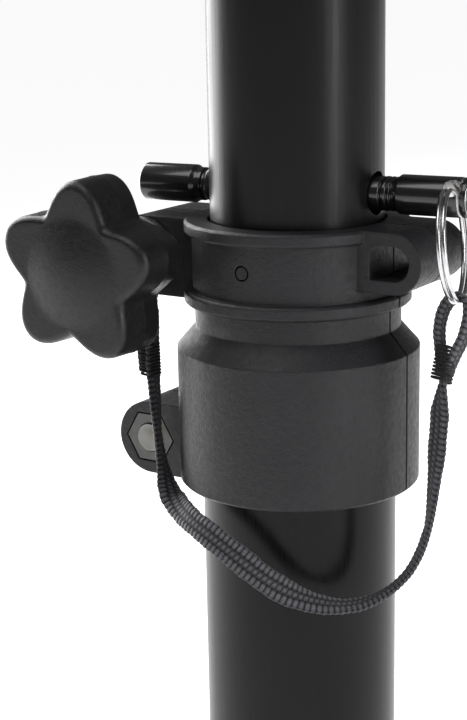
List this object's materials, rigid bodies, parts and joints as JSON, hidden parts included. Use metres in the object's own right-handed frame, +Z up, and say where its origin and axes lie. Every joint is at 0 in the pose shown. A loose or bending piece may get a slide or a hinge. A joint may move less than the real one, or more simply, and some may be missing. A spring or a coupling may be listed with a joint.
{
  "type": "speaker stand height clamp",
  "caption": "Telescopic height clamp of a loudspeaker stand: mast, column, two-half collar, star knob and captive locking pin on a strap.",
  "frame": {"origin": "centre of the column foot plug's flat bottom face", "axes": "+Z up along the mast; the knob and both clamp bolts point along -Y; the eye ears and the pin's ring lie at +X"},
  "size_m": [0.0878, 0.061, 0.2583],
  "materials": {
    "black_paint": "satin",
    "collar_nylon": "fine moulded grain",
    "moulded_black": "satin moulded",
    "pale_nylon": "satin",
    "zinc_steel": "zinc plated",
    "black_gloss": "gloss",
    "bright_wire": "polished",
    "webbing": "woven"
  },
  "bodies": {
    "column": {"column_tube": "black_paint", "column_foot_plug": "moulded_black", "column_guide_ring": "pale_nylon", "collar_front_shell": "collar_nylon", "collar_rear_shell": "collar_nylon", "brake_liner": "pale_nylon", "liner_locating_peg": "moulded_black", "clamp_nut": "zinc_steel", "lower_nut": "zinc_steel", "lower_bolt_washer": "zinc_steel", "lower_bolt": "zinc_steel", "strap_left": "webbing"},
    "mast": {"mast_tube": "black_paint", "mast_top_plug": "moulded_black", "mast_guide_plug": "pale_nylon", "strap_middle": "webbing"},
    "pin": {"locking_pin": "black_gloss", "strap_eye": "webbing"},
    "ring": {"split_ring": "bright_wire"},
    "knob_feed": {"knob_washer": "zinc_steel"},
    "knob": {"knob_body": "moulded_black", "knob_insert": "zinc_steel", "knob_stud": "zinc_steel"}
  },
  "joints": [
    {"name": "mast_slide", "type": "slide", "parent": "column", "child": "mast", "axis": [0, 0, 1], "range_m": [0, 0.08]},
    {"name": "pin_pull", "type": "slide", "parent": "mast", "child": "pin", "axis": [0.9969, 0.0785, 0], "range_m": [0, 0.058]},
    {"name": "ring_swing", "type": "hinge", "parent": "pin", "child": "ring", "pos_m": [0.0335, 0.00264, 0.1806], "axis": [0.1405, -0.7967, 0.5878], "range_deg": [0, 20]},
    {"name": "knob_feed", "type": "slide", "parent": "column", "child": "knob_feed", "axis": [0, -1, 0], "range_m": [0, 0.00125]},
    {"name": "knob_turn", "type": "hinge", "parent": "knob_feed", "child": "knob", "pos_m": [-0.0309, 0, 0.1664], "axis": [0, -1, 0], "range_deg": [0, 360]}
  ],
  "couplings": [
    {"joint": "knob_turn", "follows": "knob_feed", "rad_per_m": 5026.5}
  ]
}
